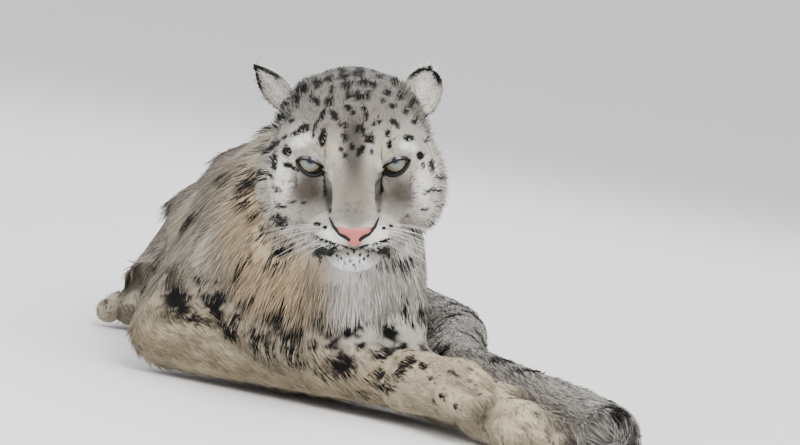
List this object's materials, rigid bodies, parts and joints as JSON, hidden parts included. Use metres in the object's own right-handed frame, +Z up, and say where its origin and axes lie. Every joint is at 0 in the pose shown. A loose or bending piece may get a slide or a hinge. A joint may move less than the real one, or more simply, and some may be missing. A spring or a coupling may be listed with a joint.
{
  "type": "resting snow leopard",
  "caption": "Life-size snow leopard lying on its belly, one foreleg crossed over the other, head low and turned to the viewer, tail along its side.",
  "frame": {"origin": "on the floor, below the middle of the animal's bounding box", "axes": "+Z up, the head faces -Y and the rump is towards +Y, so +Y runs along the longest extent; the animal's left is +X"},
  "size_m": [0.5842, 1.0032, 0.3663],
  "materials": {
    "coat": "long soft fur, pale grey with dark rosettes",
    "nose": "moist pink nose leather with dark wings",
    "eye": "glossy, pale grey-green iris"
  },
  "bodies": {
    "root": {"head": "coat", "nose": "nose", "ear_right": "coat", "ear_left": "coat", "eye_right": "eye", "eye_left": "eye", "neck": "coat", "chest": "coat", "belly": "coat", "hips": "coat", "upper_arm_right": "coat", "forearm_right": "coat", "forepaw_right": "coat", "upper_arm_left": "coat", "forearm_left": "coat", "forepaw_left": "coat", "thigh_right": "coat", "shank_right": "coat", "hindpaw_right": "coat", "thigh_left": "coat", "shank_left": "coat", "hindpaw_left": "coat", "tail_1": "coat", "tail_2": "coat", "tail_3": "coat", "tail_4": "coat", "tail_5": "coat", "tail_6": "coat", "tail_7": "coat"}
  },
  "joints": []
}
